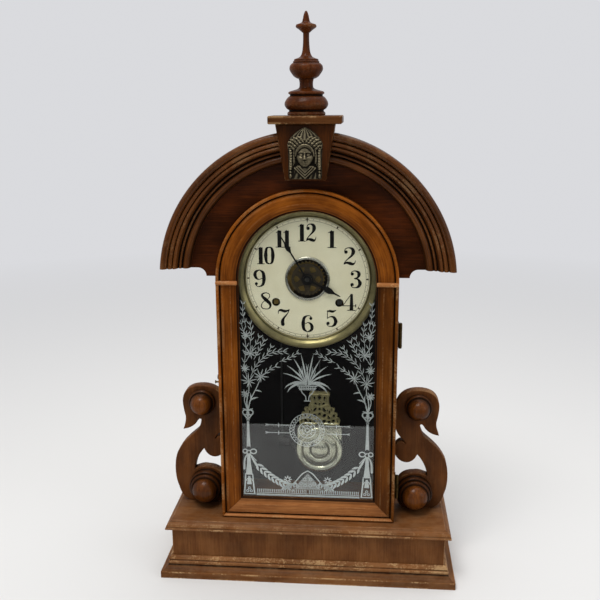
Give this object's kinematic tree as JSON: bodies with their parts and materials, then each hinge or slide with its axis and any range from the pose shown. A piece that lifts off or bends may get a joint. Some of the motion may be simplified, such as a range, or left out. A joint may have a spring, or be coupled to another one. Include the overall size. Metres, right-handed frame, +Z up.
{
  "type": "shelf clock",
  "caption": "Arched-top walnut shelf clock with round pediment, finial, swan side brackets, hinged glazed door, dial with hands, pendulum and gong strike.",
  "frame": {"origin": "middle of the footprint, on the surface the clock stands on", "axes": "+Z up, +Y towards the back, +X to the right as seen from the front"},
  "size_m": [0.3298, 0.127, 0.61],
  "materials": {
    "walnut_light": "worn shellac over warm walnut",
    "walnut_mid": "worn shellac over walnut",
    "walnut_dark": "dark stained walnut",
    "walnut_red": "red-brown walnut, satin",
    "walnut_grey": "faded walnut with worn edges",
    "pine": "bare softwood",
    "cast_metal": "aged silvered casting",
    "brass": "aged brass",
    "nickel": "worn nickel plate",
    "bronze": "dark patinated bronze",
    "steel": "plain steel",
    "black_steel": "blackened steel",
    "dial_paint": "cream dial paint",
    "clear_glass": "clear glass with frosted ornament"
  },
  "bodies": {
    "case": {"plinth_front": "walnut_grey", "plinth_back": "walnut_grey", "plinth_left": "walnut_grey", "plinth_right": "walnut_grey", "base_moulding_front": "walnut_grey", "base_moulding_left": "walnut_grey", "base_moulding_right": "walnut_grey", "plinth_top_board": "walnut_grey", "case_side_left": "walnut_mid", "case_side_right": "walnut_mid", "case_top_board": "walnut_mid", "back_board": "pine", "dial_rail": "walnut_dark", "pediment_panel": "walnut_dark", "pediment_moulding_left": "walnut_mid", "pediment_moulding_right": "walnut_mid", "keystone_block": "walnut_light", "keystone_cap": "walnut_light", "finial": "walnut_red", "keystone_mask": "cast_metal", "swan_bracket_left": "walnut_red", "swan_bracket_right": "walnut_red", "boss_lower_left": "walnut_light", "boss_lower_right": "walnut_light", "boss_upper_left": "walnut_light", "boss_upper_right": "walnut_light", "hinge_upper_case_leaf": "brass", "hinge_lower_case_leaf": "brass", "latch_screw": "black_steel", "dial_plate": "dial_paint", "dial_bezel": "brass", "movement_front_plate": "brass", "movement_back_plate": "brass", "time_mainspring": "steel", "strike_mainspring": "steel", "wire_gong": "black_steel"},
    "door": {"door_stile_left": "walnut_light", "door_stile_right": "walnut_light", "door_bottom_rail": "walnut_light", "door_arch": "walnut_light", "door_glass": "clear_glass", "hinge_upper_door_leaf": "brass", "hinge_lower_door_leaf": "brass", "catch_pin": "brass"},
    "latch": {"latch_hook": "black_steel"},
    "minute": {"centre_arbor": "steel", "minute_hand": "black_steel"},
    "hour": {"hour_wheel": "brass", "hour_hand": "black_steel"},
    "alarm": {"alarm_disc": "bronze"},
    "motion_work": {"minute_wheel": "brass"},
    "second": {"second_wheel": "brass"},
    "time_great": {"time_great_wheel": "brass"},
    "time_winding": {"time_winding_arbor": "steel"},
    "strike_winding": {"strike_great_wheel": "brass"},
    "escape": {"escape_wheel": "brass"},
    "pendulum": {"pendulum_rod": "steel", "pendulum_bob": "nickel"},
    "verge": {"verge": "steel"},
    "hammer": {"strike_hammer": "steel"}
  },
  "joints": [
    {"name": "door_swing", "type": "hinge", "parent": "case", "child": "door", "pos_m": [0.0992, -0.03165, 0.2], "axis": [0, 0, 1], "range_deg": [0, 100]},
    {"name": "latch_lift", "type": "hinge", "parent": "case", "child": "latch", "pos_m": [-0.098, -0.0185, 0.226], "axis": [-1, 0, 0], "range_deg": [0, 90]},
    {"name": "minute_turn", "type": "hinge", "parent": "case", "child": "minute", "pos_m": [0, -0.0255, 0.3404], "axis": [0, 1, 0], "continuous": true},
    {"name": "hour_turn", "type": "hinge", "parent": "case", "child": "hour", "pos_m": [0, -0.0255, 0.3404], "axis": [0, 1, 0], "continuous": true},
    {"name": "alarm_set", "type": "hinge", "parent": "hour", "child": "alarm", "pos_m": [0, -0.0255, 0.3404], "axis": [0, 1, 0], "continuous": true},
    {"name": "minute_wheel_turn", "type": "hinge", "parent": "case", "child": "motion_work", "pos_m": [-0.0225, -0.0175, 0.3404], "axis": [0, 1, 0], "continuous": true},
    {"name": "second_wheel_turn", "type": "hinge", "parent": "case", "child": "second", "pos_m": [0.01123, 0.02, 0.3252], "axis": [0, 1, 0], "continuous": true},
    {"name": "time_great_turn", "type": "hinge", "parent": "case", "child": "time_great", "pos_m": [0.034, 0.03, 0.3144], "axis": [0, 1, 0], "continuous": true},
    {"name": "time_winding_turn", "type": "hinge", "parent": "case", "child": "time_winding", "pos_m": [0.034, 0.02, 0.3144], "axis": [0, 1, 0], "continuous": true},
    {"name": "strike_winding_turn", "type": "hinge", "parent": "case", "child": "strike_winding", "pos_m": [-0.034, 0.02, 0.3144], "axis": [0, 1, 0], "continuous": true},
    {"name": "escape_turn", "type": "hinge", "parent": "case", "child": "escape", "pos_m": [0.012, 0.02, 0.3719], "axis": [0, 1, 0], "continuous": true},
    {"name": "pendulum_swing", "type": "hinge", "parent": "case", "child": "pendulum", "pos_m": [0.012, -0.0102, 0.3964], "axis": [0, 1, 0], "range_deg": [-3, 3]},
    {"name": "verge_rock", "type": "hinge", "parent": "case", "child": "verge", "pos_m": [0.012, -0.005, 0.3904], "axis": [0, 1, 0], "range_deg": [-4, 4]},
    {"name": "hammer_lift", "type": "hinge", "parent": "case", "child": "hammer", "pos_m": [-0.036, 0.02, 0.288], "axis": [0, 1, 0], "range_deg": [0, 12]}
  ],
  "couplings": [
    {"joint": "hour_turn", "follows": "minute_turn", "ratio": 0.083333},
    {"joint": "minute_wheel_turn", "follows": "minute_turn", "ratio": -0.33333},
    {"joint": "second_wheel_turn", "follows": "minute_turn", "ratio": -0.5},
    {"joint": "time_great_turn", "follows": "minute_turn", "ratio": 0.083333},
    {"joint": "verge_rock", "follows": "pendulum_swing", "ratio": 1.109}
  ]
}
